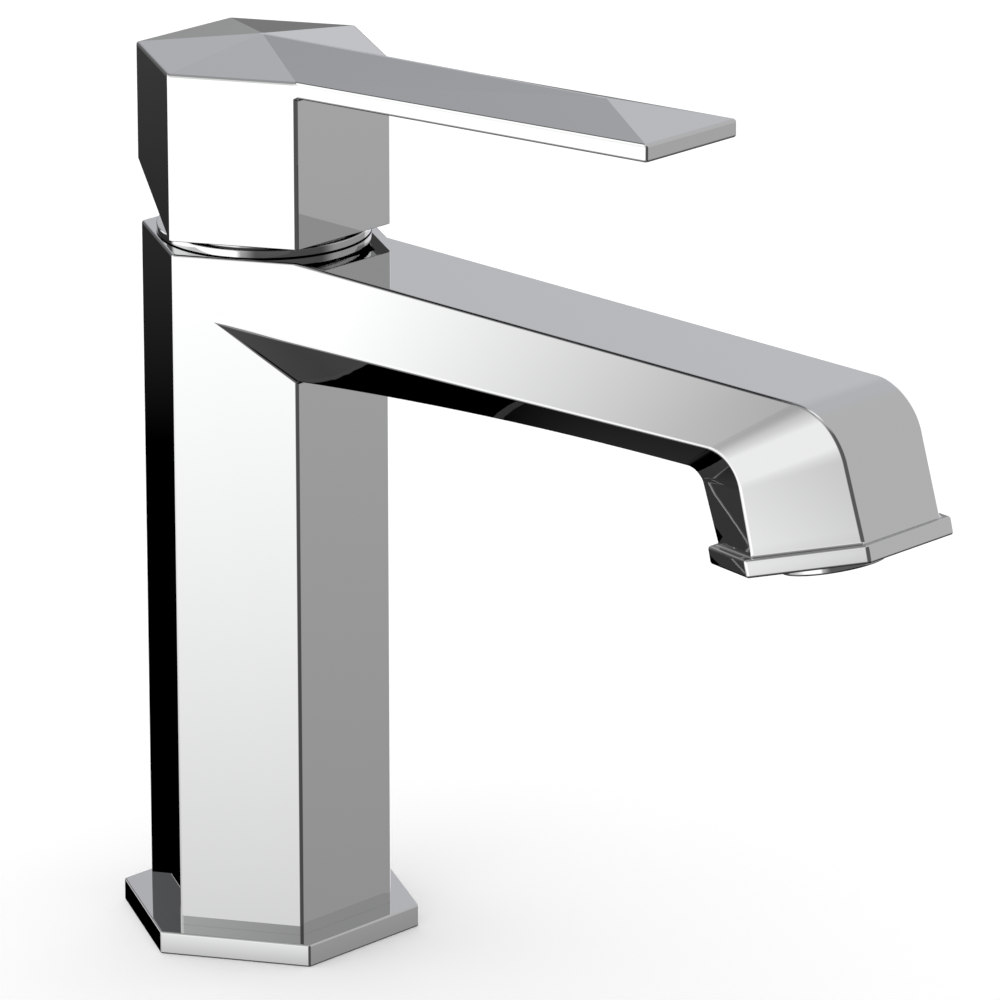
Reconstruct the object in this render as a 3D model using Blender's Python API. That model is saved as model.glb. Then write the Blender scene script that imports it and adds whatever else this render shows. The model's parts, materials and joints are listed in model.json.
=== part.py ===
"""Single-lever bathroom basin mixer: hexagonal column, hexagonal spout, flat lever.

Origin on the column's axis, on the deck face. The spout points to -Y, +Z is up,
hot is on the left (-X). In the helpers, u runs out along the spout, v to the right.
"""
import math

import bmesh
import bpy
from mathutils import Matrix, Vector

MM = 0.001
GAP = 0.3 * MM
ROUND = 36

# Driving dimensions: the column's hexagon (centre to corner) and the levels up the axis.
COLUMN_R = 24.0 * MM
FLANGE_R = 1.228 * COLUMN_R
HEAD_R = 1.023 * COLUMN_R
FLANGE_TOP = 4.45 * MM
BODY_TOP = 137.8 * MM
HEAD_BOTTOM = 140.5 * MM
HEAD_TOP = 172.5 * MM
APEX = 175.7 * MM
ROOT_3 = math.sqrt(3)

# Spout: root on the column, the bend, and the tilted outlet.
SPOUT_HALF = COLUMN_R / 2
SPOUT_WIDE = 19.9 * MM
SPOUT_LOW = 114.0 * MM
SPOUT_MID = 124.8 * MM
BEND_TOP = (151.9 * MM, BODY_TOP)
BEND_MID = (137.3 * MM, 128.9 * MM)
BEND_LOW = (120.2 * MM, 120.7 * MM)
BEND_HALF = 11.2 * MM
BEND_RADII = (12.0 * MM, 8.0 * MM, 3.5 * MM)
UNDERSIDE_RISE = 1.3 * MM
OUTLET = (141.9 * MM, 111.2 * MM)
OUTLET_TILT = math.radians(13.5)
OUTLET_R = 20.3 * MM
COLLAR_R = 22.3 * MM
COLLAR_DEEP = 3.3 * MM
AERATOR_R = 11.8 * MM
AERATOR_LIP_R = 9.6 * MM
AERATOR_PROUD = 3.2 * MM
BEND_STEPS = 12
RUN_STEPS = 6

# Cartridge bore and what stands in it, from the seat upwards.
BORE_R = 18.2 * MM
SPIGOT_R = 20.2 * MM
SPIGOT_FOOT = 1.0 * MM
SEAT = 101.7 * MM
PIVOT = 128.5 * MM
STEM_LEAN = math.radians(12.0)
STEM_ARM = 9.0 * MM
STEM_TOP = 38.0 * MM
STEM_SQUARE = 7.0 * MM
CARRIAGE_Y = STEM_ARM * math.sin(STEM_LEAN)
PORT_X = 8.5 * MM

# Lever: flat blade from the head's front face, with a shallow ridge.
BLADE_TIP = 108.5 * MM
BLADE_HALF = 11.9 * MM
BLADE_TIP_TOP = 177.7 * MM
BLADE_TIP_LOW = 174.4 * MM
BLADE_ROOT_LOW = 169.4 * MM
RIDGE_END = (87.5 * MM, 180.1 * MM)
CHAMFER_BACK = 150.1 * MM
HEAD_WALL = 3.0 * MM
BOSS_R = 9.5 * MM
SCREW_Z = 161.0 * MM

CHROME = ("polished_chrome", (0.86, 0.87, 0.88), 0.04, 1.0)
BRASS = ("raw_brass", (0.72, 0.53, 0.25), 0.30, 1.0)
STEEL = ("stainless_steel", (0.60, 0.60, 0.61), 0.28, 1.0)
RUBBER = ("black_rubber", (0.02, 0.02, 0.02), 0.75, 0.0)
WHITE_PLASTIC = ("white_plastic", (0.78, 0.78, 0.76), 0.45, 0.0)
BLUE_PLASTIC = ("pale_blue_plastic", (0.45, 0.56, 0.66), 0.45, 0.0)
GREY_PLASTIC = ("grey_plastic", (0.30, 0.31, 0.32), 0.50, 0.0)
CERAMIC = ("white_ceramic", (0.88, 0.86, 0.82), 0.15, 0.0)


def material(finish):
    name, colour, roughness, metallic = finish
    found = bpy.data.materials.get(name)
    if found:
        return found
    made = bpy.data.materials.new(name)
    made.use_nodes = True
    shader = made.node_tree.nodes["Principled BSDF"]
    shader.inputs["Base Color"].default_value = (*colour, 1.0)
    shader.inputs["Roughness"].default_value = roughness
    shader.inputs["Metallic"].default_value = metallic
    made.diffuse_color = (*colour, 1.0)
    return made


def at(u, v, z):
    """A point given along the spout, across it and up."""
    return Vector((v, -u, z))


def hexagon(radius):
    """Corners of a hexagon with flats facing the spout and the back, starting at +X."""
    return [Vector((radius * math.cos(k * math.pi / 3), radius * math.sin(k * math.pi / 3), 0.0))
            for k in range(6)]


def lifted(points, z):
    return [Vector((p.x, p.y, z)) for p in points]


def finish_mesh(bm, place=None):
    bmesh.ops.remove_doubles(bm, verts=bm.verts, dist=1e-7)
    bmesh.ops.recalc_face_normals(bm, faces=bm.faces)
    if place:
        bm.transform(place)
    return bm


def loft(rings, place=None):
    """A closed solid through rings of equal length, capped at both ends."""
    bm = bmesh.new()
    made = [[bm.verts.new(p) for p in ring] for ring in rings]
    for ring, following in zip(made, made[1:]):
        for k in range(len(ring)):
            nxt = (k + 1) % len(ring)
            bm.faces.new((ring[k], ring[nxt], following[nxt], following[k]))
    bm.faces.new(made[0])
    bm.faces.new(made[-1])
    return finish_mesh(bm, place)


def prism(outline, low, high, place=None):
    return loft([lifted(outline, low), lifted(outline, high)], place)


def cylinder(radius, low, high, x=0.0, y=0.0, place=None, steps=ROUND):
    circle = [Vector((x + radius * math.cos(2 * math.pi * k / steps),
                      y + radius * math.sin(2 * math.pi * k / steps), 0.0)) for k in range(steps)]
    return prism(circle, low, high, place)


def block(size, centre, place=None):
    bm = bmesh.new()
    bmesh.ops.create_cube(bm, size=1.0)
    bm.transform(Matrix.Translation(centre) @ Matrix.Diagonal((*size, 1.0)))
    return finish_mesh(bm, place)


def turned(profile, place=None, closed=True, steps=ROUND):
    """A solid turned about Z from (radius, height) points; open ones start and end on the axis."""
    bm = bmesh.new()
    verts = [bm.verts.new((r, 0.0, z)) for r, z in profile]
    pairs = list(zip(verts, verts[1:]))
    if closed:
        pairs.append((verts[-1], verts[0]))
    edges = [bm.edges.new(pair) for pair in pairs]
    bmesh.ops.spin(bm, geom=verts + edges, cent=(0, 0, 0), axis=(0, 0, 1),
                   angle=2 * math.pi, steps=steps)
    return finish_mesh(bm, place)


def tube(inner, outer, low, high, place=None, steps=ROUND):
    return turned([(inner, low), (outer, low), (outer, high), (inner, high)], place, steps=steps)


def o_ring(radius, thick, z, place=None, steps=ROUND, sides=8):
    profile = [(radius + thick / 2 * math.cos(2 * math.pi * k / sides),
                z + thick / 2 * math.sin(2 * math.pi * k / sides)) for k in range(sides)]
    return turned(profile, place, steps=steps)


def add(name, bm, finish, axis=None, smooth=False):
    """Make the named sub-part; one that moves is placed under the empty on its joint's axis."""
    origin = axis.matrix_world.translation if axis else Vector()
    bm.transform(Matrix.Translation(-origin))
    mesh = bpy.data.meshes.new(name)
    bm.to_mesh(mesh)
    bm.free()
    if smooth:
        mesh.shade_smooth()
        mesh.set_sharp_from_angle(angle=math.radians(35))
    made = bpy.data.objects.new(name, mesh)
    bpy.context.scene.collection.objects.link(made)
    made.data.materials.append(material(finish))
    made.parent = axis
    return made


def cut(target, name, bm, operation="DIFFERENCE"):
    """Take a hidden shape away from the target, or join it on."""
    tool = add(name, bm, GREY_PLASTIC)
    tool.hide_render = True
    tool.display_type = "WIRE"
    modifier = target.modifiers.new(name, "BOOLEAN")
    modifier.operation = operation
    modifier.solver = "EXACT"
    modifier.object = tool


def joint_axis(name, z, parent=None):
    empty = bpy.data.objects.new(name, None)
    empty.empty_display_size = 0.02
    bpy.context.scene.collection.objects.link(empty)
    empty.location = (0.0, 0.0, z)
    if parent:
        empty.parent = parent
        empty.location = (0.0, 0.0, z - parent.location.z)
    bpy.context.view_layer.update()
    return empty


# ---- the body's outer shape -------------------------------------------------------------

def outlet_frame():
    """Outlet's own frame: its -Z is where the water goes, down and slightly forward."""
    return Matrix.Translation(at(OUTLET[0], 0.0, OUTLET[1])) @ Matrix.Rotation(-OUTLET_TILT, 4, "X")


def outlet_ring(radius, depth=0.0):
    frame = outlet_frame()
    corners = hexagon(radius)
    order = (4, 3, 2, 1, 0, 5)
    return [frame @ (corners[k] - Vector((0, 0, depth))) for k in order]


def edge_path(start, corner, end, radius, rise=0.0):
    """Side view of one spout edge: a run (arched by rise), a round bend, and the drop."""
    start, corner, end = Vector(start), Vector(corner), Vector(end)
    back = (start - corner).normalized()
    down = (end - corner).normalized()
    half = back.angle(down) / 2
    reach = radius / math.tan(half)
    first = corner + back * reach
    last = corner + down * reach
    centre = corner + (back + down).normalized() * radius / math.sin(half)
    path = []
    for k in range(RUN_STEPS):
        t = k / RUN_STEPS
        point = start.lerp(first, t)
        path.append(Vector((point.x, point.y + rise * 4 * t * (1 - t))))
    for k in range(BEND_STEPS + 1):
        chord = first.lerp(last, k / BEND_STEPS)
        path.append(centre + (chord - centre).normalized() * radius)
    path.append(end)
    return path


def widths(root, bend, end):
    """Half-width at each point of an edge path: even along the run, even through the bend."""
    run = [root + (bend - root) * k / RUN_STEPS for k in range(RUN_STEPS)]
    turn = [bend + (end - bend) * k / (BEND_STEPS + 1) for k in range(BEND_STEPS + 2)]
    return run + turn


def spout_rings(inset=0.0, root_u=COLUMN_R * ROOT_3 / 2, end_lift=0.0):
    """Hexagonal sections of the spout from the column to the outlet, or of its waterway."""
    frame = outlet_frame()
    end_r = OUTLET_R - inset * 2 / ROOT_3
    end = [frame @ (p + Vector((0, 0, end_lift))) for p in hexagon(end_r)]
    front, side, back = end[4], end[3], end[2]
    mid_u = (COLUMN_R - SPOUT_WIDE) * ROOT_3 if inset == 0 else root_u
    top = edge_path((root_u, BODY_TOP - inset), (BEND_TOP[0] - inset, BODY_TOP - inset),
                    (-front.y, front.z), BEND_RADII[0] - inset)
    mid = edge_path((mid_u, SPOUT_MID), BEND_MID, (-side.y, side.z), BEND_RADII[1])
    low = edge_path((root_u, SPOUT_LOW + inset), (BEND_LOW[0] + inset, BEND_LOW[1] + inset),
                    (-back.y, back.z), BEND_RADII[2] + inset, UNDERSIDE_RISE)
    top_v = widths(SPOUT_HALF - inset / 2, BEND_HALF - inset / 2, end_r / 2)
    mid_v = widths(SPOUT_WIDE - inset, SPOUT_WIDE - inset, end_r)
    rings = []
    for t, m, b, tv, mv in zip(top, mid, low, top_v, mid_v):
        rings.append([at(t.x, -tv, t.y), at(m.x, -mv, m.y), at(b.x, -tv, b.y),
                      at(b.x, tv, b.y), at(m.x, mv, m.y), at(t.x, tv, t.y)])
    return rings


def body_shell():
    """Column and spout as one skin: the spout's six edges start on the column's faces."""
    bm = bmesh.new()
    rings = spout_rings()
    rings += [outlet_ring(COLLAR_R), outlet_ring(COLLAR_R, COLLAR_DEEP)]
    spout = [[bm.verts.new(p) for p in ring] for ring in rings]
    for ring, following in zip(spout, spout[1:]):
        for k in range(6):
            nxt = (k + 1) % 6
            bm.faces.new((ring[k], ring[nxt], following[nxt], following[k]))
    bm.faces.new(spout[-1])
    top_near, mid_near, low_near, low_far, mid_far, top_far = spout[0]
    foot = [bm.verts.new(p) for p in lifted(hexagon(COLUMN_R), FLANGE_TOP + GAP)]
    top = [bm.verts.new(p) for p in lifted(hexagon(COLUMN_R), BODY_TOP)[:4]] + [top_near, top_far]
    bm.faces.new(foot)
    bm.faces.new(top)
    for k in range(3):
        bm.faces.new((foot[k], foot[k + 1], top[k + 1], top[k]))
    bm.faces.new((foot[3], foot[4], low_near, mid_near, top_near, top[3]))
    bm.faces.new((foot[4], foot[5], low_far, low_near))
    bm.faces.new((foot[5], foot[0], top[0], top_far, mid_far, low_far))
    return finish_mesh(bm)


def make_body():
    body = add("body", body_shell(), CHROME)
    cut(body, "cut_spigot", cylinder(SPIGOT_R, SPIGOT_FOOT, FLANGE_TOP + 2 * MM), "UNION")
    circlip_low, circlip_high = 1.9 * MM, 3.7 * MM
    bore = [(0, -1 * MM), (BORE_R, -1 * MM), (BORE_R, circlip_low), (BORE_R + 1 * MM, circlip_low),
            (BORE_R + 1 * MM, circlip_high), (BORE_R, circlip_high), (BORE_R, BODY_TOP + 1 * MM),
            (0, BODY_TOP + 1 * MM)]
    cut(body, "cut_bore", turned(bore, closed=False))
    cut(body, "cut_waterway", loft(spout_rings(3.0 * MM, 24.0 * MM, 9.0 * MM)))
    cut(body, "cut_side_port", block((16 * MM, 12 * MM, 3.6 * MM), (0, -21 * MM, 119.2 * MM)))
    cut(body, "cut_aerator_bore", cylinder(AERATOR_R + GAP, -COLLAR_DEEP - 1 * MM, 10.5 * MM,
                                           place=outlet_frame()))


# ---- the deck end -----------------------------------------------------------------------

def make_base_flange():
    outline = hexagon(FLANGE_R)
    edge = 0.5 * MM
    rings = [lifted(outline, 0.0), lifted(outline, FLANGE_TOP - edge),
             lifted(hexagon(FLANGE_R - edge), FLANGE_TOP)]
    flange = add("base_flange", loft(rings), CHROME)
    cut(flange, "cut_flange_hole", cylinder(SPIGOT_R + GAP, -1 * MM, FLANGE_TOP + 1 * MM))
    cut(flange, "cut_gasket_groove", tube(21.7 * MM, 24.7 * MM, -1 * MM, 1.8 * MM))


def make_base_gasket():
    add("base_gasket", tube(22.0 * MM, 24.4 * MM, 0.0, 1.5 * MM), RUBBER, smooth=True)


def make_waterway_insert():
    """Moulded core of the column: carries hot and cold up to the cartridge's seat."""
    radius = BORE_R - GAP
    groove = 1.6 * MM
    ring_z = 96.0 * MM
    profile = [(0, 0), (14.0 * MM, 0), (14.0 * MM, 4.0 * MM), (radius, 4.0 * MM),
               (radius, ring_z - groove / 2), (radius - groove, ring_z - groove / 2),
               (radius - groove, ring_z + groove / 2), (radius, ring_z + groove / 2),
               (radius, SEAT), (0, SEAT)]
    insert = add("waterway_insert", turned(profile, closed=False), GREY_PLASTIC)
    for side, x in (("hot", -PORT_X), ("cold", PORT_X)):
        cut(insert, f"cut_{side}_channel", cylinder(4.0 * MM, -1 * MM, SEAT + 1 * MM, x, steps=24))
        cut(insert, f"cut_{side}_port", cylinder(6.3 * MM, -1 * MM, 12.3 * MM, x, steps=24))
        bush = tube(4.6 * MM, 6.0 * MM, 0.0, 12.0 * MM, Matrix.Translation((x, 0, 0)), steps=24)
        add(f"{side}_inlet_port", bush, BRASS, smooth=True)
    for end, y in (("rear", 9.3 * MM), ("front", -9.3 * MM)):
        cut(insert, f"cut_{end}_stud", cylinder(4.3 * MM, -1 * MM, 18.3 * MM, 0, y, steps=24))
        bush = tube(2.5 * MM, 4.0 * MM, 0.0, 18.0 * MM, Matrix.Translation((0, y, 0)), steps=24)
        add(f"{end}_stud_socket", bush, BRASS, smooth=True)
    add("insert_o_ring", o_ring(radius - groove / 2 + 0.1 * MM, 1.1 * MM, ring_z), RUBBER, smooth=True)


def make_insert_circlip():
    """Open spring ring in the bore's groove, under the insert."""
    clip = add("insert_circlip", tube(14.6 * MM, BORE_R + 0.6 * MM, 2.2 * MM, 3.4 * MM), STEEL)
    cut(clip, "cut_circlip_gap", block((7 * MM, 10 * MM, 4 * MM), (0, 17 * MM, 2.8 * MM)))


# ---- cartridge --------------------------------------------------------------------------

def make_cartridge_base():
    low = SEAT + GAP
    high = 108.0 * MM
    base = add("cartridge_base", cylinder(17.4 * MM, low, high), WHITE_PLASTIC)
    for side, x in (("hot", -PORT_X), ("cold", PORT_X)):
        place = Matrix.Translation((x, 0, 0))
        cut(base, f"cut_{side}_passage", cylinder(3.0 * MM, low - 1 * MM, high + 1 * MM, x, steps=24))
        cut(base, f"cut_{side}_seal_seat", tube(3.6 * MM, 6.0 * MM, low - 1 * MM, low + 1.9 * MM,
                                                place, steps=24))
        add(f"{side}_inlet_seal", tube(3.9 * MM, 5.7 * MM, low, low + 1.6 * MM, place, steps=24),
            RUBBER, smooth=True)


def make_ceramic_discs(carriage):
    fixed_low = 108.3 * MM
    thick = 3.7 * MM
    fixed = add("fixed_ceramic_disc", cylinder(14.5 * MM, fixed_low, fixed_low + thick), CERAMIC)
    for side, x in (("hot", -PORT_X), ("cold", PORT_X)):
        cut(fixed, f"cut_{side}_slot", block((3.6 * MM, 9 * MM, 6 * MM), (x, 2 * MM, fixed_low + 2 * MM)))
    cut(fixed, "cut_outlet_slot", cylinder(3.4 * MM, fixed_low - 1 * MM, fixed_low + 5 * MM,
                                           0, -5 * MM, steps=24))
    moving_low = fixed_low + thick + GAP
    moving = add("moving_ceramic_disc", cylinder(10.5 * MM, moving_low, moving_low + thick,
                                                 0, CARRIAGE_Y), CERAMIC, carriage)
    cut(moving, "cut_mixing_pocket", cylinder(6.0 * MM, moving_low - 1 * MM, moving_low + 2 * MM,
                                              0, CARRIAGE_Y, steps=24))


def make_disc_carrier(carriage):
    """Plastic slide above the moving disc; the stem's ball works in its pocket."""
    low = 116.3 * MM
    high = 121.2 * MM
    carrier = add("disc_carrier", cylinder(10.5 * MM, low, high, 0, CARRIAGE_Y), BLUE_PLASTIC, carriage)
    cut(carrier, "cut_ball_pocket", cylinder(2.6 * MM, low + 0.7 * MM, high + 1 * MM, 0, CARRIAGE_Y,
                                             steps=24))


def make_cartridge_housing():
    """Outer can of the cartridge: wide skirt round the discs, neck round the guide."""
    profile = [(15.4 * MM, 108.3 * MM), (17.4 * MM, 108.3 * MM), (17.4 * MM, 121.8 * MM),
               (13.6 * MM, 121.8 * MM), (13.6 * MM, 134.0 * MM), (11.8 * MM, 134.0 * MM),
               (11.8 * MM, 121.5 * MM), (15.4 * MM, 119.8 * MM)]
    housing = add("cartridge_housing", turned(profile), WHITE_PLASTIC)
    cut(housing, "cut_outlet_window", block((12 * MM, 8 * MM, 4 * MM), (0, -16 * MM, 115 * MM)))


def make_cartridge_guide(turn):
    """Swivelling guide: turns in the neck and carries the stem's pin."""
    low = 121.8 * MM
    high = 134.6 * MM
    guide = add("cartridge_guide", cylinder(11.4 * MM, low, high), BLUE_PLASTIC, turn)
    cut(guide, "cut_stem_slot", block((9.8 * MM, 17.6 * MM, 20 * MM), (0, 0, PIVOT)))
    along_x = Matrix.Translation((0, 0, PIVOT)) @ Matrix.Rotation(math.pi / 2, 4, "Y")
    cut(guide, "cut_pin_hole", cylinder(1.8 * MM, -12 * MM, 12 * MM, place=along_x, steps=16))
    add("stem_pin", cylinder(1.5 * MM, -10.5 * MM, 10.5 * MM, place=along_x, steps=16), STEEL, turn,
        smooth=True)


def stem_frame():
    """Stem's own frame: origin on the pivot, +Z along the stem, leaning to the spout."""
    return Matrix.Translation((0, 0, PIVOT)) @ Matrix.Rotation(STEM_LEAN, 4, "X")


def make_cartridge_stem(lift):
    ball = 2.2 * MM
    arc = [(ball * math.sin(math.radians(a)), -STEM_ARM - ball * math.cos(math.radians(a)))
           for a in (0, 30, 60, 90, 120, 140)]
    barrel = [(4.4 * MM, -5.5 * MM), (4.4 * MM, 8.0 * MM), (0, 8.0 * MM)]
    stem = add("cartridge_stem", turned(arc + barrel, stem_frame(), closed=False, steps=24), STEEL,
               lift)
    square = block((STEM_SQUARE, STEM_SQUARE, STEM_TOP - 6 * MM), (0, 0, (STEM_TOP + 6 * MM) / 2),
                   stem_frame())
    cut(stem, "join_stem_square", square, "UNION")
    along_x = Matrix.Translation((0, 0, PIVOT)) @ Matrix.Rotation(math.pi / 2, 4, "Y")
    cut(stem, "cut_stem_cross_hole", cylinder(1.8 * MM, -8 * MM, 8 * MM, place=along_x, steps=16))


def make_cartridge_nut():
    """Locking nut over the neck, with six spanner slots."""
    low, high = 124.0 * MM, 130.5 * MM
    nut = add("cartridge_nut", tube(13.9 * MM, BORE_R - GAP, low, high), BRASS)
    for k in range(3):
        turn = Matrix.Rotation(k * math.pi / 3, 4, "Z")
        cut(nut, f"cut_spanner_slot_{k}", block((40 * MM, 3 * MM, 2.4 * MM), (0, 0, high), turn))
    add("cartridge_seal", tube(13.9 * MM, BORE_R - 0.2 * MM, 122.1 * MM, 123.7 * MM), RUBBER,
        smooth=True)


def make_cartridge_dome():
    """Round cap over the nut: a rim on the body's top and a crown the stem comes through."""
    rim_r = 20.2 * MM
    rim_low = BODY_TOP + GAP
    rim_top = 139.0 * MM
    wall = 1.1 * MM
    skirt_r = BORE_R - GAP
    hole_r, crown = 8.9 * MM, 143.5 * MM
    profile = [(skirt_r - wall, 131.2 * MM), (skirt_r, 131.2 * MM), (skirt_r, rim_low), (rim_r, rim_low),
               (rim_r, rim_top - 0.3 * MM), (rim_r - 0.3 * MM, rim_top), (17.5 * MM, rim_top),
               (13.0 * MM, 141.9 * MM), (hole_r, crown), (hole_r, crown - wall),
               (12.6 * MM, 140.8 * MM), (skirt_r - wall, rim_top - wall)]
    add("cartridge_dome", turned(profile), CHROME, smooth=True)


# ---- handle -----------------------------------------------------------------------------

def handle_shell():
    """Hexagonal head with a low pointed roof, running out into the ridged blade."""
    bm = bmesh.new()
    corners = hexagon(HEAD_R)
    front = HEAD_R * ROOT_3 / 2
    top = [bm.verts.new(p) for p in lifted(corners, HEAD_TOP)]
    low_z = [HEAD_BOTTOM, CHAMFER_BACK, CHAMFER_BACK, HEAD_BOTTOM, HEAD_BOTTOM, HEAD_BOTTOM]
    low = [bm.verts.new((p.x, p.y, z)) for p, z in zip(corners, low_z)]
    apex = bm.verts.new(at(0, 0, APEX))
    ridge = bm.verts.new(at(RIDGE_END[0], 0, RIDGE_END[1]))
    tip = [bm.verts.new(at(BLADE_TIP, side * BLADE_HALF, BLADE_TIP_TOP)) for side in (-1, 1)]
    tip_low = [bm.verts.new(at(BLADE_TIP, side * BLADE_HALF, BLADE_TIP_LOW)) for side in (-1, 1)]
    root_low = [bm.verts.new(at(front, side * HEAD_R / 2, BLADE_ROOT_LOW)) for side in (-1, 1)]
    for k in (0, 1, 2, 3, 5):
        bm.faces.new((apex, top[k], top[(k + 1) % 6]))
    for k in (0, 1, 2):
        bm.faces.new((top[k], top[k + 1], low[k + 1], low[k]))
    bm.faces.new((top[3], top[4], root_low[0], low[4], low[3]))
    bm.faces.new((top[5], top[0], low[0], low[5], root_low[1]))
    bm.faces.new((root_low[0], root_low[1], low[5], low[4]))
    bm.faces.new((apex, top[4], ridge))
    bm.faces.new((top[4], tip[0], ridge))
    bm.faces.new((apex, ridge, top[5]))
    bm.faces.new((top[5], ridge, tip[1]))
    bm.faces.new((ridge, tip[0], tip[1]))
    bm.faces.new((tip[0], tip[1], tip_low[1], tip_low[0]))
    bm.faces.new((top[4], tip[0], tip_low[0], root_low[0]))
    bm.faces.new((top[5], tip[1], tip_low[1], root_low[1]))
    bm.faces.new((root_low[0], root_low[1], tip_low[1], tip_low[0]))
    bm.faces.new((low[0], low[3], low[4], low[5]))
    bm.faces.new((low[0], low[1], low[2], low[3]))
    return finish_mesh(bm)


def make_handle(lift):
    handle = add("handle", handle_shell(), CHROME, lift)
    hollow = add("cut_head_hollow", prism(hexagon(HEAD_R - HEAD_WALL), HEAD_BOTTOM - 2 * MM, 167.0 * MM),
                 GREY_PLASTIC)
    boss = cylinder(BOSS_R, 18.5 * MM, 50 * MM, place=stem_frame())
    cut(hollow, "cut_boss", boss)
    hollow.hide_render = True
    hollow.display_type = "WIRE"
    modifier = handle.modifiers.new("hollow", "BOOLEAN")
    modifier.object = hollow
    socket = STEM_SQUARE + 2 * GAP
    cut(handle, "cut_stem_socket", block((socket, socket, STEM_TOP + GAP), (0, 0, (STEM_TOP + GAP) / 2),
                                         stem_frame()))
    along_y = Matrix.Translation((0, 0, SCREW_Z)) @ Matrix.Rotation(-math.pi / 2, 4, "X")
    cut(handle, "cut_screw_hole", cylinder(2.8 * MM, -5 * MM, 40 * MM, place=along_y, steps=24))
    stem_back = -(SCREW_Z - PIVOT) * math.tan(STEM_LEAN) + STEM_SQUARE / 2 / math.cos(STEM_LEAN)
    start = stem_back + 3 * GAP
    screw = add("handle_grub_screw", cylinder(2.5 * MM, start, start + 6 * MM, place=along_y, steps=24),
                STEEL, lift)
    hexagon_key = prism(hexagon(1.45 * MM), start + 3 * MM, start + 8 * MM, along_y)
    cut(screw, "cut_key_socket", hexagon_key)
    face = HEAD_R * ROOT_3 / 2
    add("handle_screw_plug", cylinder(2.5 * MM, face - 2.6 * MM, face - 0.2 * MM, place=along_y, steps=24),
        CHROME, lift, smooth=True)


# ---- aerator ----------------------------------------------------------------------------

def make_aerator():
    frame = outlet_frame()
    mouth = -COLLAR_DEEP - AERATOR_PROUD
    washer_low = 8.3 * MM
    shoulder = -COLLAR_DEEP + 0.2 * MM
    housing = [(8.4 * MM, mouth + 0.3 * MM), (8.7 * MM, mouth), (AERATOR_LIP_R - 0.4 * MM, mouth),
               (AERATOR_LIP_R, mouth + 0.4 * MM), (AERATOR_LIP_R, shoulder), (AERATOR_R, shoulder),
               (AERATOR_R, 8.0 * MM), (10.2 * MM, 8.0 * MM), (10.2 * MM, 1.0 * MM),
               (9.4 * MM, 0.4 * MM), (9.4 * MM, -0.6 * MM), (8.4 * MM, -1.6 * MM)]
    add("aerator_housing", turned(housing, frame), CHROME, smooth=True)
    insert = add("aerator_insert", cylinder(9.9 * MM, 1.3 * MM, 6.4 * MM, place=frame), WHITE_PLASTIC)
    holes = bmesh.new()
    pitch = 4.4 * MM
    for row in range(-2, 3):
        for column in range(-2, 3):
            x = (column + row % 2 / 2) * pitch
            y = row * pitch * ROOT_3 / 2
            if math.hypot(x, y) < 8.3 * MM:
                cell = prism([p + Vector((x, y, 0)) for p in hexagon(1.9 * MM)], 0.0, 8.0 * MM, frame)
                mesh = bpy.data.meshes.new("cell")
                cell.to_mesh(mesh)
                holes.from_mesh(mesh)
                bpy.data.meshes.remove(mesh)
    cut(insert, "cut_insert_cells", holes)
    screen = add("aerator_screen", cylinder(9.9 * MM, 6.7 * MM, 7.7 * MM, place=frame), STEEL)
    slots = bmesh.new()
    for k in range(-3, 4):
        length = 2 * math.sqrt((9.0 * MM) ** 2 - (k * 2.4 * MM) ** 2)
        mesh = bpy.data.meshes.new("slot")
        block((1.2 * MM, length, 3 * MM), (k * 2.4 * MM, 0, 7.2 * MM), frame).to_mesh(mesh)
        slots.from_mesh(mesh)
        bpy.data.meshes.remove(mesh)
    cut(screen, "cut_screen_slots", slots)
    add("aerator_washer", tube(8.6 * MM, AERATOR_R, washer_low, washer_low + 1.6 * MM, frame), RUBBER,
        smooth=True)


def build():
    for old in list(bpy.data.objects):
        bpy.data.objects.remove(old, do_unlink=True)
    turn = joint_axis("handle_turn_axis", PIVOT)
    lift = joint_axis("handle_lift_axis", PIVOT, turn)
    carriage = joint_axis("disc_slide_axis", PIVOT, turn)
    make_body()
    make_base_flange()
    make_base_gasket()
    make_waterway_insert()
    make_insert_circlip()
    make_cartridge_base()
    make_ceramic_discs(carriage)
    make_disc_carrier(carriage)
    make_cartridge_housing()
    make_cartridge_guide(turn)
    make_cartridge_stem(lift)
    make_cartridge_nut()
    make_cartridge_dome()
    make_handle(lift)
    make_aerator()


build()
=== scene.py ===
import math

import bmesh
import bpy
from mathutils import Matrix, Vector
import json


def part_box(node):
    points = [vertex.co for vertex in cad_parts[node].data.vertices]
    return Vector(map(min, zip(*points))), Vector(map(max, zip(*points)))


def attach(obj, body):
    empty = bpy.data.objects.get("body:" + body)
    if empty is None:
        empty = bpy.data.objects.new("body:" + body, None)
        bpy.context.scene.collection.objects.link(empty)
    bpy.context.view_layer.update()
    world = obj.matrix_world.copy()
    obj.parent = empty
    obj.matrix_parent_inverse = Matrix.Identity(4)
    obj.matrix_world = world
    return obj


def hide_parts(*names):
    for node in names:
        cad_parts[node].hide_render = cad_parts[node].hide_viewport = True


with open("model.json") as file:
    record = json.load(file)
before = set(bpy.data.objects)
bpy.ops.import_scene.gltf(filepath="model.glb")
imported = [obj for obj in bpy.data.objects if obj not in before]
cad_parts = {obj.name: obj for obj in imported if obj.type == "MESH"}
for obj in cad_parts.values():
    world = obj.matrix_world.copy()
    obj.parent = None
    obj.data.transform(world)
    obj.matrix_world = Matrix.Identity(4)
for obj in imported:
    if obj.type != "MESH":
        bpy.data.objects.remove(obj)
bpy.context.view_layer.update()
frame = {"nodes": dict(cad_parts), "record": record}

MM = 0.001

# ---------------------------------------------------------------------------------------
# Base plate. The hexagonal foot that covers the deck hole: machined brass, chrome plated,
# with softly broken edges. Bored out for the body's spigot.

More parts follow.
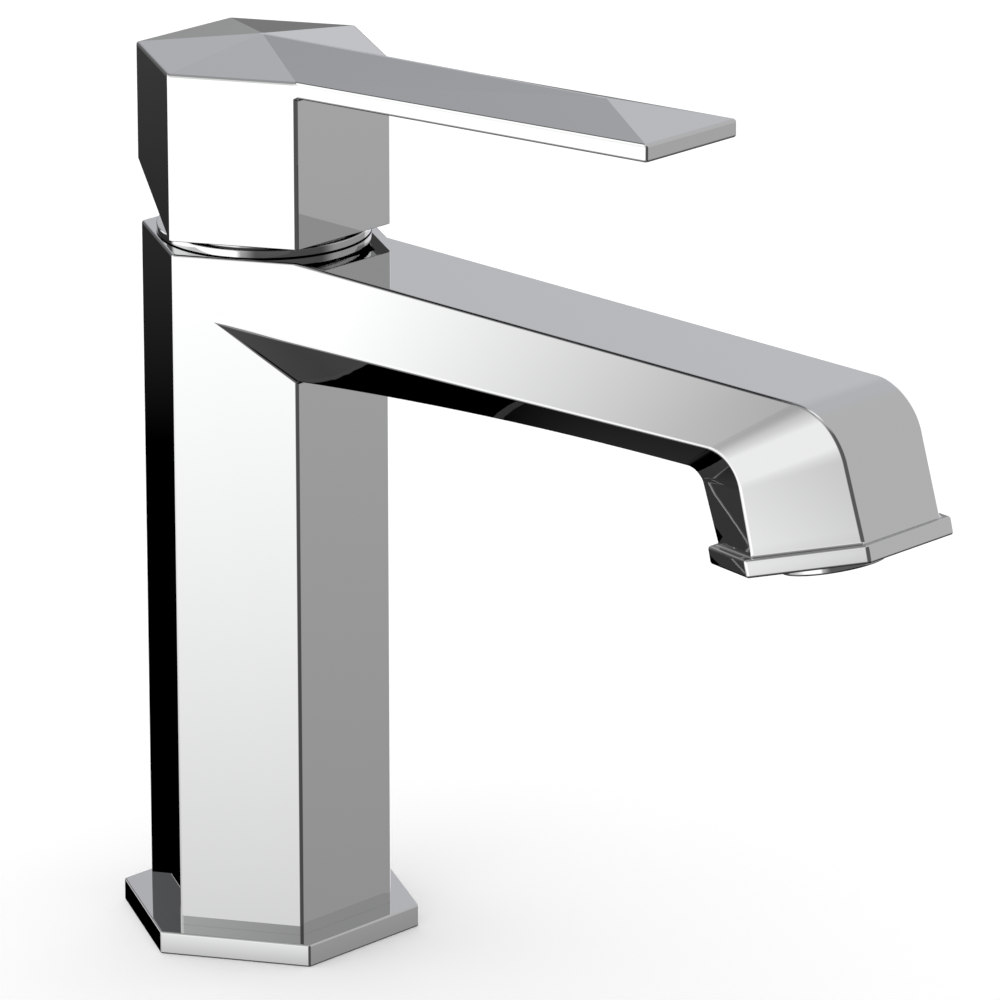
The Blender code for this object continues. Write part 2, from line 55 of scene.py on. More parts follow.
ROOT_3 = math.sqrt(3)
plate_low, plate_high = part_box("base_flange")
body_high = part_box("body")[1]
PLATE_R = plate_high.x
COLUMN_R = body_high.x
PLATE_EDGE = 0.35 * MM
GROOVE_IN, GROOVE_OUT, GROOVE_DEEP = 21.7 * MM, 24.7 * MM, 1.8 * MM
SPIGOT_HOLE_R = 20.5 * MM


def only(piece):
    """Make this the one selected and active object."""
    bpy.ops.object.select_all(action="DESELECT")
    piece.select_set(True)
    bpy.context.view_layer.objects.active = piece
    return piece


def named(name):
    """Name the primitive that was just added, with its place put into its mesh."""
    piece = bpy.context.active_object
    piece.name = piece.data.name = name
    only(piece)
    bpy.ops.object.transform_apply(location=True, rotation=True, scale=True)
    return piece


def hexagonal(name, radius, low, high):
    """A six-sided post, corners to the left and right, flats to the spout and the back."""
    bpy.ops.object.select_all(action="DESELECT")
    bpy.ops.mesh.primitive_cylinder_add(vertices=6, radius=radius, depth=high - low,
                                        location=(0, 0, (low + high) / 2), rotation=(0, 0, math.pi / 2))
    return named(name)


def drum(name, radius, low, high, at=(0, 0, 0), tilt=0.0, sides=96):
    """A round plug along an axis through the point, tilted about X."""
    bpy.ops.object.select_all(action="DESELECT")
    centre = Vector(at) + Matrix.Rotation(tilt, 3, "X") @ Vector((0, 0, (low + high) / 2))
    bpy.ops.mesh.primitive_cylinder_add(vertices=sides, radius=radius, depth=high - low,
                                        location=centre, rotation=(tilt, 0, 0))
    return named(name)


def join_shape(piece, other, operation="DIFFERENCE"):
    """Cut the other shape out of the piece, or weld it on, and remove it."""
    only(piece)
    modifier = piece.modifiers.new(operation.lower(), "BOOLEAN")
    modifier.operation = operation
    modifier.solver = "EXACT"
    modifier.object = other
    bpy.ops.object.modifier_apply(modifier=modifier.name)
    bpy.data.objects.remove(other, do_unlink=True)
    return piece


def edit(piece, domain="EDGE"):
    """Open the mesh for editing, with nothing selected."""
    only(piece)
    bpy.ops.object.mode_set(mode="EDIT")
    bpy.ops.mesh.select_mode(type=domain)
    bpy.ops.mesh.select_all(action="DESELECT")
    return bmesh.from_edit_mesh(piece.data)


def done():
    bpy.ops.object.mode_set(mode="OBJECT")


def select_edges(mesh, test):
    """Select the edges of the open mesh that pass the test."""
    for edge in [edge for edge in mesh.edges if test(edge)]:
        edge.select_set(True)
    mesh.select_flush_mode()


def sharper(degrees):
    """Edges whose two faces turn by more than this."""
    limit = math.radians(degrees)
    return lambda edge: len(edge.link_faces) == 2 and edge.calc_face_angle(0.0) > limit


def round_edges(piece, width, degrees=20, segments=3, test=None, clamp=True):
    """Break the sharp edges as polishing does."""
    mesh = edit(piece)
    is_sharp = sharper(degrees)
    select_edges(mesh, lambda edge: is_sharp(edge) and (test is None or test(edge)))
    bpy.ops.mesh.bevel(offset=width, segments=segments, profile=0.5, affect="EDGES",
                       clamp_overlap=clamp, miter_outer="SHARP")
    done()
    return piece


def polish(piece, degrees=35, crease=None):
    """Flat faces stay flat in the mirror, and only the broken edges turn."""
    only(piece)
    bpy.ops.object.shade_smooth_by_angle(angle=math.radians(degrees))
    if crease:
        select_edges(edit(piece), crease)
        bpy.ops.mesh.mark_sharp()
        done()
    modifier = piece.modifiers.new("weighted", "WEIGHTED_NORMAL")
    modifier.keep_sharp = True
    modifier.weight = 100
    bpy.ops.object.modifier_apply(modifier=modifier.name)
    return piece


class Maths:
    """A shader socket that adds its own Math nodes when it is used in an expression."""

    def __init__(self, tree, socket):
        self.tree = tree
        self.socket = socket

    def _with(self, other, operation, swap=False):
        pair = (other, self) if swap else (self, other)
        return node(self.tree, "ShaderNodeMath", {"operation": operation}, dict(enumerate(pair)))

    def __add__(self, other):
        return self._with(other, "ADD")

    __radd__ = __add__

    def __sub__(self, other):
        return self._with(other, "SUBTRACT")

    def __rsub__(self, other):
        return self._with(other, "SUBTRACT", True)

    def __mul__(self, other):
        return self._with(other, "MULTIPLY")

    def ramp(self, low, high):
        """0 below low, 1 above high, straight between."""
        return node(self.tree, "ShaderNodeMapRange", None,
                    {"Value": self, "From Min": low, "From Max": high})

    def rising(self, low, high):
        """0 below low, 1 above high, smooth between."""
        return node(self.tree, "ShaderNodeMapRange", {"interpolation_type": "SMOOTHSTEP"},
                    {"Value": self, "From Min": low, "From Max": high})


def node(tree, kind, settings=None, values=None, out=0):
    """Add a node, set its settings first, then link or fill its sockets."""
    made = tree.nodes.new(kind)
    for key, value in (settings or {}).items():
        setattr(made, key, value)
    for key, value in (values or {}).items():
        if isinstance(value, Maths):
            tree.links.new(value.socket, made.inputs[key])
        else:
            made.inputs[key].default_value = value
    return Maths(tree, made.outputs[out])


def finish(name, colour, roughness, metallic):
    """A new material and its shader's sockets."""
    made = bpy.data.materials.new(name)
    made.use_nodes = True
    made.diffuse_color = (*colour, 1.0)
    tree = made.node_tree
    shader = tree.nodes["Principled BSDF"]
    shader.inputs["Base Color"].default_value = (*colour, 1.0)
    shader.inputs["Roughness"].default_value = roughness
    shader.inputs["Metallic"].default_value = metallic
    return made, tree, shader


def link(value, shader, name):
    """Feed a value into one of the shader's sockets."""
    value.tree.links.new(value.socket, shader.inputs[name])


def place(tree):
    """The point's own coordinates on its object."""
    return node(tree, "ShaderNodeTexCoord", out=3)


def make_chrome():
    """Bright chrome: a hard cold mirror, with a trace of polishing haze."""
    made, tree, shader = finish("polished_chrome", (0.52, 0.525, 0.522), 0.02, 1.0)
    haze = node(tree, "ShaderNodeTexNoise", None, {"Vector": place(tree), "Scale": 45.0, "Detail": 3.0})
    link(0.012 + haze.rising(0.45, 0.8) * 0.02, shader, "Roughness")
    return made


chrome = make_chrome()


def dress(piece, material, body, node_name):
    """Give the piece its finish, the body that it moves with and the node that it replaces."""
    piece.data.materials.clear()
    piece.data.materials.append(material)
    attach(piece, body)
    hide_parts(node_name)


plate = hexagonal("base_plate", PLATE_R, plate_low.z, plate_high.z)
round_edges(plate, PLATE_EDGE)
groove = drum("gasket_groove", GROOVE_OUT, plate_low.z - MM, GROOVE_DEEP)
join_shape(groove, drum("groove_core", GROOVE_IN, plate_low.z - 2 * MM, GROOVE_DEEP + MM))
join_shape(plate, groove)
join_shape(plate, drum("spigot_hole", SPIGOT_HOLE_R, plate_low.z - MM, plate_high.z + MM))
polish(plate)
dress(plate, chrome, "mixer", "base_flange")

# ---------------------------------------------------------------------------------------
# Body. One hollow brass casting, ground and chrome plated: the hexagonal column, the
# six-sided spout that grows out of its front three faces, and the collar at the outlet.

BODY_TOP = body_high.z
SPOUT_WIDE = 19.9 * MM
SPOUT_MIDDLE, SPOUT_LOW = 124.8 * MM, 114.0 * MM
BEND_TOP = (151.9 * MM, BODY_TOP)
BEND_MIDDLE = (137.3 * MM, 128.9 * MM)
BEND_LOW = (120.2 * MM, 120.7 * MM)
BEND_HALF = 11.2 * MM
BEND_RADII = (12 * MM, 8 * MM, 3.5 * MM)
UNDERSIDE_RISE = 1.3 * MM
OUTLET = Vector((0, -141.9 * MM, 111.2 * MM))
OUTLET_TILT = -math.radians(13.5)
OUTLET_R = 20.3 * MM
COLLAR_R = 22.3 * MM
COLLAR_DEEP = 3.3 * MM
AERATOR_R = 11.8 * MM
BORE_R = 18.2 * MM
SPIGOT_R = 20.2 * MM
CIRCLIP_LOW, CIRCLIP_HIGH = 1.9 * MM, 3.7 * MM
WALL = 3 * MM
CHANNEL_RISE = 9 * MM        # the channel stops this far above the collar
EDGE = 0.5 * MM              # how wide a polished edge is broken
SLIT = 0.01 * MM             # the column stands this far off the plate
SINK = 8 * MM                # the spout's first section stands this far inside the column
CLEAR_OF_ROOT = 0.14         # share of the run before its second section
RUN, BEND, DROP = 14, 28, 6  # sections along the run, round the bend and down to the outlet
AROUND = [math.radians(a) for a in (-120, 180, 120, 60, 0, -60)]
outlet_turn = Matrix.Rotation(OUTLET_TILT, 3, "X")


def outlet_corner(angle, radius, height=0.0):
    """A point on the tilted plane of the outlet."""
    corner = Vector((radius * math.cos(angle), radius * math.sin(angle), height))
    return OUTLET + outlet_turn @ corner


def run_shares():
    """Where the sections of the run stand, as shares of its length."""
    return [0.0] + [CLEAR_OF_ROOT + (1 - CLEAR_OF_ROOT) * k / (RUN - 1) for k in range(RUN - 1)]


def edge_line(start, corner, end, radius, rise=0.0):
    """One long edge of the spout from the side, as (reach, height): run, round bend, drop."""
    start, corner, end = Vector(start), Vector(corner), Vector(end)
    back = (start - corner).normalized()
    down = (end - corner).normalized()
    half = back.angle(down) / 2
    first = corner + back * radius / math.tan(half)
    last = corner + down * radius / math.tan(half)
    centre = corner + (back + down).normalized() * radius / math.sin(half)
    points = [start.lerp(first, share) + Vector((0, rise * 4 * share * (1 - share)))
              for share in run_shares()]
    for k in range(BEND):
        spoke = first.lerp(last, k / BEND) - centre
        points.append(centre + spoke.normalized() * radius)
    return points + [last.lerp(end, k / DROP) for k in range(DROP + 1)]


def half_widths(root, bend, end):
    """Half the width of each section: even at the root, then tapering to bend and end."""
    along = [root + (bend - root) * max(0, share - CLEAR_OF_ROOT) / (1 - CLEAR_OF_ROOT)
             for share in run_shares()]
    rest = BEND + DROP
    return along + [bend + (end - bend) * k / rest for k in range(rest + 1)]


def spout_sections(inset=0.0, root=COLUMN_R * ROOT_3 / 2 - SINK, lifted=0.0):
    """Six-cornered sections from the column to the outlet: the skin, or the channel inside it."""
    radius = OUTLET_R - inset * 2 / ROOT_3
    front, side, back = [outlet_corner(a, radius, lifted) for a in AROUND[:3]]
    beside = (COLUMN_R - SPOUT_WIDE) * ROOT_3 - SINK if inset == 0 else root
    upper = edge_line((root, BODY_TOP - inset), (BEND_TOP[0] - inset, BODY_TOP - inset),
                      (-front.y, front.z), BEND_RADII[0] - inset)
    middle = edge_line((beside, SPOUT_MIDDLE), BEND_MIDDLE, (-side.y, side.z), BEND_RADII[1])
    lower = edge_line((root, SPOUT_LOW + inset), (BEND_LOW[0] + inset, BEND_LOW[1] + inset),
                      (-back.y, back.z), BEND_RADII[2] + inset, UNDERSIDE_RISE)
    narrow = half_widths((COLUMN_R - inset) / 2, BEND_HALF - inset / 2, radius / 2)
    wide = half_widths(SPOUT_WIDE - inset, SPOUT_WIDE - inset, radius)
    sections = []
    for top, mid, low, n, w in zip(upper, middle, lower, narrow, wide):
        rows = ((top, -n), (mid, -w), (low, -n), (low, n), (mid, w), (top, n))
        sections.append([Vector((across, -side.x, side.y)) for side, across in rows])
    return sections


def hexagon_run(name, sections):
    """A six-sided outline, extruded from section to section and closed at both ends."""
    bpy.ops.object.select_all(action="DESELECT")
    bpy.ops.mesh.primitive_circle_add(vertices=6, radius=COLUMN_R, fill_type="NGON")
    piece = named(name)
    mesh = edit(piece, "FACE")
    mesh.faces.ensure_lookup_table()
    cap = mesh.faces[0]
    cap.select_set(True)
    for corner, point in zip(cap.verts, sections[0]):
        corner.co = point
    for section in sections[1:]:
        bpy.ops.mesh.extrude_region_move()
        mesh = bmesh.from_edit_mesh(piece.data)
        cap = [face for face in mesh.faces if face.select][0]
        for corner, point in zip(cap.verts, section):
            corner.co = point
    bpy.ops.mesh.select_all(action="SELECT")
    bpy.ops.mesh.normals_make_consistent(inside=False)
    done()
    return piece


def merge_flats(piece, degrees=0.05):
    """Flat areas become one face each, so that only true edges are left to break."""
    edit(piece)
    bpy.ops.mesh.select_all(action="SELECT")
    bpy.ops.mesh.remove_doubles(threshold=1e-6)
    bpy.ops.mesh.dissolve_limited(angle_limit=math.radians(degrees))
    bpy.ops.mesh.select_all(action="SELECT")
    bpy.ops.mesh.remove_doubles(threshold=0.15 * MM)
    done()
    return piece


def is_joint(edge):
    """Where the spout's slanted side runs out into the column's face: a crease left sharp."""
    low, high = sorted((v.co for v in edge.verts), key=lambda point: point.z)
    off_face = [abs(abs(p.x) * ROOT_3 / 2 - p.y / 2 - COLUMN_R * ROOT_3 / 2) for p in (low, high)]
    slanted = (high - low).to_2d().length > MM and high.z - low.z > MM
    return max(off_face) < 0.05 * MM and slanted and low.z > SPOUT_MIDDLE - MM


def is_crease(edge):
    """The joint and the short edges that meet it, so that neither face bends toward the other."""
    meets = any(is_joint(other) for corner in edge.verts for other in corner.link_edges)
    return is_joint(edge) or meets and edge.calc_length() < MM


def is_broken(edge):
    """Every sharp edge but the foot and the joint is broken."""
    return max(v.co.z for v in edge.verts) > 1.2 * plate_high.z and not is_joint(edge)


def make_body():
    collar = [[outlet_corner(a, COLLAR_R, height) for a in AROUND] for height in (0, -COLLAR_DEEP)]
    piece = hexagonal("body_casting", COLUMN_R, plate_high.z + SLIT, BODY_TOP)
    join_shape(piece, hexagon_run("spout", spout_sections() + collar), "UNION")
    merge_flats(piece)
    round_edges(piece, EDGE, 20, test=is_broken, clamp=False)
    join_shape(piece, drum("spigot", SPIGOT_R, 1.0 * MM, plate_high.z + 2 * MM), "UNION")
    join_shape(piece, drum("cartridge_bore", BORE_R, 0, BODY_TOP + MM))
    join_shape(piece, drum("circlip_groove", BORE_R + MM, CIRCLIP_LOW, CIRCLIP_HIGH))
    join_shape(piece, hexagon_run("waterway", spout_sections(WALL, COLUMN_R, CHANNEL_RISE)))
    join_shape(piece, drum("aerator_bore", AERATOR_R + 0.3 * MM, -COLLAR_DEEP - MM, 10.5 * MM,
                           OUTLET, OUTLET_TILT))
    return polish(piece, crease=is_crease)


body = make_body()
dress(body, chrome, "mixer", "body")

# ---------------------------------------------------------------------------------------
# Handle. One zinc casting, chrome plated: a hexagonal head with a low pointed roof that
# runs out into a flat blade with a shallow ridge. Hollow, and it sits on the stem's square.

handle_low, handle_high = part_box("handle")
HEAD_R = handle_high.x
HEAD_FACE = HEAD_R * ROOT_3 / 2
HEAD_TOP = 172.5 * MM
APEX = 175.7 * MM
BLADE_TIP = -handle_low.y
BLADE_HALF = 11.9 * MM
BLADE_TIP_TOP, BLADE_TIP_LOW = 177.7 * MM, 174.4 * MM
BLADE_ROOT_LOW = 169.4 * MM
RIDGE_END = Vector((0, -87.5 * MM, handle_high.z))
TILT_ROOM = math.radians(24.3)
PIVOT = Vector((0, 0, 128.5 * MM))
STEM_LEAN = math.radians(12)
STEM_TOP, STEM_SOCKET = 38 * MM, 7.6 * MM
HEAD_WALL, HOLLOW_TOP = 3 * MM, 167 * MM
BOSS_R, BOSS_LOW, BOSS_TOP = 9.5 * MM, 18.5 * MM, 50 * MM
SCREW_HEIGHT, SCREW_HOLE_R = 161 * MM, 2.8 * MM
LOWER_RIM_EDGE = 0.15 * MM


def near(point, target, reach=0.2 * MM):
    return (point - Vector(target)).length < reach


def is_lower_rim(edge):
    """The rim round the head's open underside, which stays almost sharp."""
    return all(abs(v.co.z - handle_low.z - max(0, v.co.y) * math.tan(TILT_ROOM)) < 0.1 * MM
               for v in edge.verts)


def raise_roof(piece):
    """The head's top rises to a low point, and a cut round the head marks the blade's root."""
    edit(piece, "FACE")
    bpy.ops.mesh.select_all(action="SELECT")
    bpy.ops.mesh.bisect(plane_co=(0, 0, BLADE_ROOT_LOW), plane_no=(0, 0, 1))
    bpy.ops.mesh.select_all(action="DESELECT")
    mesh = bmesh.from_edit_mesh(piece.data)
    roof = [f for f in mesh.faces if f.normal.z > 0.9][0]
    roof.select_set(True)
    bpy.ops.mesh.poke()
    mesh = bmesh.from_edit_mesh(piece.data)
    for vert in mesh.verts:
        if near(vert.co, (0, 0, HEAD_TOP)):
            vert.co.z = APEX


def draw_blade(piece):
    """The upper part of the front face is drawn out into the blade, thin at its tip."""
    bpy.ops.mesh.select_all(action="DESELECT")
    mesh = bmesh.from_edit_mesh(piece.data)
    root = [f for f in mesh.faces if f.normal.y < -0.9 and f.calc_center_median().z > BLADE_ROOT_LOW][0]
    root.select_set(True)
    bpy.ops.mesh.extrude_region_move(TRANSFORM_OT_translate={"value": (0, HEAD_FACE - BLADE_TIP, 0)})
    mesh = bmesh.from_edit_mesh(piece.data)
    for vert in mesh.verts:
        if abs(vert.co.y + BLADE_TIP) < 0.1 * MM:
            vert.co.x = math.copysign(BLADE_HALF, vert.co.x)
            vert.co.z = BLADE_TIP_TOP if vert.co.z > (BLADE_ROOT_LOW + HEAD_TOP) / 2 else BLADE_TIP_LOW


def crease_blade(piece):
    """The front roof face and the blade's top become one face, with a ridge that ends near the tip."""
    bpy.ops.mesh.select_all(action="DESELECT")
    mesh = bmesh.from_edit_mesh(piece.data)
    top = [e for e in mesh.edges if all(near(v.co, (v.co.x, -HEAD_FACE, HEAD_TOP)) for v in e.verts)
           and abs(e.verts[0].co.x - e.verts[1].co.x) > HEAD_R / 2]
    top[0].select_set(True)
    bpy.ops.mesh.dissolve_edges(use_verts=False)
    mesh = bmesh.from_edit_mesh(piece.data)
    bpy.ops.mesh.select_all(action="DESELECT")
    blade = [f for f in mesh.faces if len(f.verts) == 5 and f.normal.z > 0.8][0]
    blade.select_set(True)
    bpy.ops.mesh.poke()
    mesh = bmesh.from_edit_mesh(piece.data)
    centre = [v for v in mesh.verts if abs(v.co.x) < 0.1 * MM and v.co.y < -HEAD_FACE - 5 * MM][0]
    centre.co = RIDGE_END


def make_handle():
    piece = hexagonal("lever_handle", HEAD_R, handle_low.z, HEAD_TOP)
    raise_roof(piece)
    draw_blade(piece)
    crease_blade(piece)
    bpy.ops.mesh.select_all(action="SELECT")
    slope = Vector((0, math.sin(TILT_ROOM), -math.cos(TILT_ROOM)))
    bpy.ops.mesh.bisect(plane_co=(0, 0, handle_low.z), plane_no=slope, clear_outer=True, use_fill=True)
    done()
    round_edges(piece, EDGE, 25, test=lambda edge: not is_lower_rim(edge))
    round_edges(piece, LOWER_RIM_EDGE, 25, test=is_lower_rim)
    hollow = hexagonal("hollow", HEAD_R - HEAD_WALL, handle_low.z - 2 * MM, HOLLOW_TOP)
    join_shape(hollow, drum("boss", BOSS_R, BOSS_LOW, BOSS_TOP, PIVOT, STEM_LEAN))
    join_shape(piece, hollow)
    deep = STEM_TOP + 0.3 * MM
    turn = Matrix.Rotation(STEM_LEAN, 3, "X")
    bpy.ops.object.select_all(action="DESELECT")
    bpy.ops.mesh.primitive_cube_add(size=1.0, location=PIVOT + turn @ Vector((0, 0, deep / 2)),
                                    rotation=(STEM_LEAN, 0, 0),
                                    scale=(STEM_SOCKET, STEM_SOCKET, deep))
    join_shape(piece, named("stem_socket"))
    join_shape(piece, drum("screw_hole", SCREW_HOLE_R, -5 * MM, 40 * MM, (0, 0, SCREW_HEIGHT),
                           -math.pi / 2, 48))
    return polish(piece, 8)


handle = make_handle()
dress(handle, chrome, "lever", "handle")

# ---------------------------------------------------------------------------------------
# Cap over the cartridge: a spun brass dome, chrome plated, whose rim shows as a thin round
# line between the column and the head. Its lower tube and the underside of its rim are black:
# painted shade, standing in for the dark shadow in the gap between the rim and the column.

CAP_RIM_R, CAP_RIM_TOP, CAP_LIP = 20.2 * MM, 139.45 * MM, 0.25 * MM
CAP_LOW, CAP_TUBE_R, CAP_BORE_R = 131.2 * MM, 17.9 * MM, 16.6 * MM
CROWN_R, CROWN_RUN, CROWN_RISE = 18.6 * MM, 9.7 * MM, 4.05 * MM
HOLLOW_R, HOLLOW_RUN, HOLLOW_Z, HOLLOW_RISE = 9.0 * MM, 7.6 * MM, 137.9 * MM, 4.6 * MM


def spun(name, profile, at=(0, 0, 0), tilt=0.0, steps=128, closed=True):
    """A profile of (radius, height) points spun round the axis through the point."""
    bpy.ops.object.select_all(action="DESELECT")
    bpy.ops.mesh.primitive_circle_add(vertices=len(profile), radius=0.01)
    piece = named(name)
    mesh = edit(piece, "VERT")
    for vert, (radius, height) in zip(mesh.verts, profile):
        vert.co = (radius, 0, height)
    bpy.ops.mesh.select_all(action="SELECT")
    bpy.ops.mesh.spin(steps=steps, angle=2 * math.pi, center=(0, 0, 0), axis=(0, 0, 1))
    bpy.ops.mesh.select_all(action="SELECT")
    bpy.ops.mesh.remove_doubles(threshold=1e-6)
    bpy.ops.mesh.normals_make_consistent(inside=False)
    done()
    piece.location = at
    piece.rotation_euler = (tilt, 0, 0)
    only(piece)
    bpy.ops.object.transform_apply(location=True, rotation=True, scale=True)
    return piece


def make_dome():
    low, edge_in, edge_low = BODY_TOP + CAP_LIP, CAP_RIM_R - CAP_LIP, CAP_RIM_TOP - CAP_LIP
    arc = [(edge_in + CAP_LIP * math.cos(a), edge_low + CAP_LIP * math.sin(a))
           for a in (0, math.pi / 6, math.pi / 3, math.pi / 2)]
    crown = [(CROWN_R - CROWN_RUN * (1 - math.cos(a)), CAP_RIM_TOP + CROWN_RISE * math.sin(a))
             for a in [k * math.pi / 32 for k in range(17)]]
    inner = [(HOLLOW_R + HOLLOW_RUN * math.sin(a), HOLLOW_Z + HOLLOW_RISE * math.cos(a))
             for a in [k * math.pi / 20 for k in range(11)]]
    tube = [(CAP_BORE_R, CAP_LOW), (CAP_TUBE_R, CAP_LOW), (CAP_TUBE_R, low), (CAP_RIM_R, low)]
    return spun("dome_cap", tube + arc + crown + inner)


def make_rubber():
    """Black rubber: dull, with a fine moulded grain."""
    made, tree, shader = finish("black_rubber", (0.018, 0.018, 0.019), 0.65, 0.0)
    speck = node(tree, "ShaderNodeTexNoise", None, {"Vector": place(tree), "Scale": 1500.0, "Detail": 3.0})
    link(0.55 + speck * 0.2, shader, "Roughness")
    link(node(tree, "ShaderNodeBump", None, {"Height": speck, "Strength": 0.3, "Distance": 0.0001}),
         shader, "Normal")
    return made


rubber = make_rubber()
dome = make_dome()
dress(dome, chrome, "mixer", "cartridge_dome")
# Faces below the rim take the black rubber finish: painted shade for the dark gap line under the cap's
# rim.
dome.data.materials.append(rubber)
for face in dome.data.polygons:
    if face.center.z < BODY_TOP + CAP_LIP + 0.02 * MM:
        face.material_index = 1
polish(dome, 30)

# ---------------------------------------------------------------------------------------
# Aerator ring: a turned brass ring screwed into the collar, chrome plated, a little proud
# of it, with a rounded lip.

LIP_R, LIP_ROUND, RING_PROUD = 9.6 * MM, 0.4 * MM, 2.7 * MM
RING_TOP, RING_BORE_R = 8.0 * MM, 10.2 * MM
LEDGE_R, MOUTH_R = 9.4 * MM, 8.4 * MM


def make_aerator():
    mouth = -COLLAR_DEEP - RING_PROUD
    shoulder = -COLLAR_DEEP + 0.2 * MM
    bead = [(LIP_R - LIP_ROUND + LIP_ROUND * math.cos(a), mouth + LIP_ROUND - LIP_ROUND * math.sin(a))
            for a in [math.radians(d) for d in (90, 60, 30, 0)]]
    outside = [(LIP_R, shoulder), (AERATOR_R, shoulder), (AERATOR_R, RING_TOP)]
    inside = [(RING_BORE_R, RING_TOP), (RING_BORE_R, MM), (LEDGE_R, 0.4 * MM), (LEDGE_R, -0.6 * MM),
              (MOUTH_R, -1.6 * MM), (MOUTH_R, mouth + 0.3 * MM)]
    profile = [(MOUTH_R + 0.3 * MM, mouth)] + bead + outside + inside
    return polish(spun("aerator_ring", profile, OUTLET, OUTLET_TILT, 96), 30)


aerator = make_aerator()
dress(aerator, chrome, "mixer", "aerator_housing")

# ---------------------------------------------------------------------------------------
# Aerator's insert: a moulded plastic disc of hexagonal cells that breaks up the stream. It
# sits in the ring, under a steel screen.

INSERT_R, INSERT_LOW, INSERT_TOP = 9.9 * MM, 1.3 * MM, 6.4 * MM
CELL_PITCH, CELL_R, CELLS_WITHIN = 2.5 * MM, 1.25 * MM, 7.9 * MM
CELL_ROWS = 4


def grained(name, colour, roughness, metallic, grain, depth):
    """A finish with a fine grain in its roughness and surface, and a slow drift in its tone."""
    made, tree, shader = finish(name, colour, roughness, metallic)
    where = place(tree)
    speck = node(tree, "ShaderNodeTexNoise", None, {"Vector": where, "Scale": grain, "Detail": 4.0})
    drift = node(tree, "ShaderNodeTexNoise", None, {"Vector": where, "Scale": 90.0, "Detail": 2.0})
    darker, lighter = [c * 0.9 for c in colour], [min(1, c * 1.06) for c in colour]
    tone = node(tree, "ShaderNodeMix", {"data_type": "RGBA"},
                {0: drift, 6: (*darker, 1.0), 7: (*lighter, 1.0)}, 2)
    link(tone, shader, "Base Color")
    link(speck * 0.2 + (roughness - 0.1), shader, "Roughness")
    bump = node(tree, "ShaderNodeBump", None, {"Height": speck, "Strength": depth, "Distance": 0.0002})
    link(bump, shader, "Normal")
    return made


white_plastic = grained("white_plastic", (0.78, 0.78, 0.76), 0.42, 0.0, 1300.0, 0.12)


def make_honeycomb():
    """A grid of hexagonal cells cut through a round plug."""
    piece = drum("aerator_cells", INSERT_R, INSERT_LOW, INSERT_TOP, OUTLET, OUTLET_TILT)
    round_edges(piece, 0.25 * MM)
    cells = None
    for row in range(-CELL_ROWS, CELL_ROWS + 1):
        for column in range(-CELL_ROWS, CELL_ROWS + 1):
            across = (column + row % 2 / 2) * CELL_PITCH
            along = row * CELL_PITCH * ROOT_3 / 2
            if math.hypot(across, along) > CELLS_WITHIN:
                continue
            middle = OUTLET + outlet_turn @ Vector((across, along, 4 * MM))
            bpy.ops.object.select_all(action="DESELECT")
            bpy.ops.mesh.primitive_cylinder_add(vertices=6, radius=CELL_R, depth=8 * MM,
                                                location=middle, rotation=outlet_turn.to_euler())
            cell = named("cell")
            if cells:
                cells.select_set(True)
                bpy.context.view_layer.objects.active = cells
                bpy.ops.object.join()
            else:
                cells = cell
    return polish(join_shape(piece, cells))


honeycomb = make_honeycomb()
dress(honeycomb, white_plastic, "mixer", "aerator_insert")

# ---------------------------------------------------------------------------------------
# Plug at the back of the head: a small turned button over the clamping screw, chrome
# plated, with a low crown and a rounded rim. It presses into the hole.

PLUG_R, PLUG_ROUND = 2.5 * MM, 0.25 * MM


def make_plug():
    face = HEAD_FACE - 0.2 * MM
    rim = [(PLUG_R - PLUG_ROUND * (1 - math.cos(a)), face - PLUG_ROUND * (1 - math.sin(a)))
           for a in [k * math.pi / 8 for k in range(5)]]
    shank = [(0, face - 2.4 * MM), (2.2 * MM, face - 2.4 * MM), (PLUG_R, face - 2.1 * MM)]
    crown = [(1.6 * MM, face + 0.05 * MM), (0.8 * MM, face + 0.08 * MM), (0, face + 0.09 * MM)]
    return polish(spun("screw_plug", shank + rim + crown, (0, 0, SCREW_HEIGHT), -math.pi / 2, 48), 30)


plug = make_plug()
dress(plug, chrome, "lever", "handle_screw_plug")

# ---------------------------------------------------------------------------------------
# Gasket under the plate: a moulded rubber ring with rounded edges, laid in the plate's
# groove and pressed against the deck.

GASKET_R, GASKET_HALF, GASKET_TOP, GASKET_ROUND = 23.2 * MM, 1.2 * MM, 1.5 * MM, 0.35 * MM


def make_gasket():
    profile = []
    for x, z, start in ((GASKET_HALF, 0, -90), (GASKET_HALF, GASKET_TOP, 0),
                        (-GASKET_HALF, GASKET_TOP, 90), (-GASKET_HALF, 0, 180)):
        across = GASKET_R + x - math.copysign(GASKET_ROUND, x)
        up = z + (GASKET_ROUND if z == 0 else -GASKET_ROUND)
        for k in range(5):
            angle = math.radians(start + k * 22.5)
            profile.append((across + GASKET_ROUND * math.cos(angle), up + GASKET_ROUND * math.sin(angle)))
    return polish(spun("deck_gasket", profile), 30)


gasket = make_gasket()
dress(gasket, rubber, "mixer", "base_gasket")

# ---------------------------------------------------------------------------------------
# Brass ends in the foot: two threaded ports for the hoses and two threaded sockets for the
# fixing studs, turned, left unplated, and moulded into the insert.

PORT_X, STUD_Y = 8.5 * MM, 9.3 * MM
PORT = (6.0 * MM, 4.6 * MM, 12 * MM, 1.0 * MM)        # outer and inner radius, length, pitch
SOCKET = (4.0 * MM, 2.5 * MM, 18 * MM, 1.25 * MM)
THREAD_DEEP = 0.5 * MM
brass = grained("raw_brass", (0.72, 0.50, 0.22), 0.26, 1.0, 900.0, 0.15)


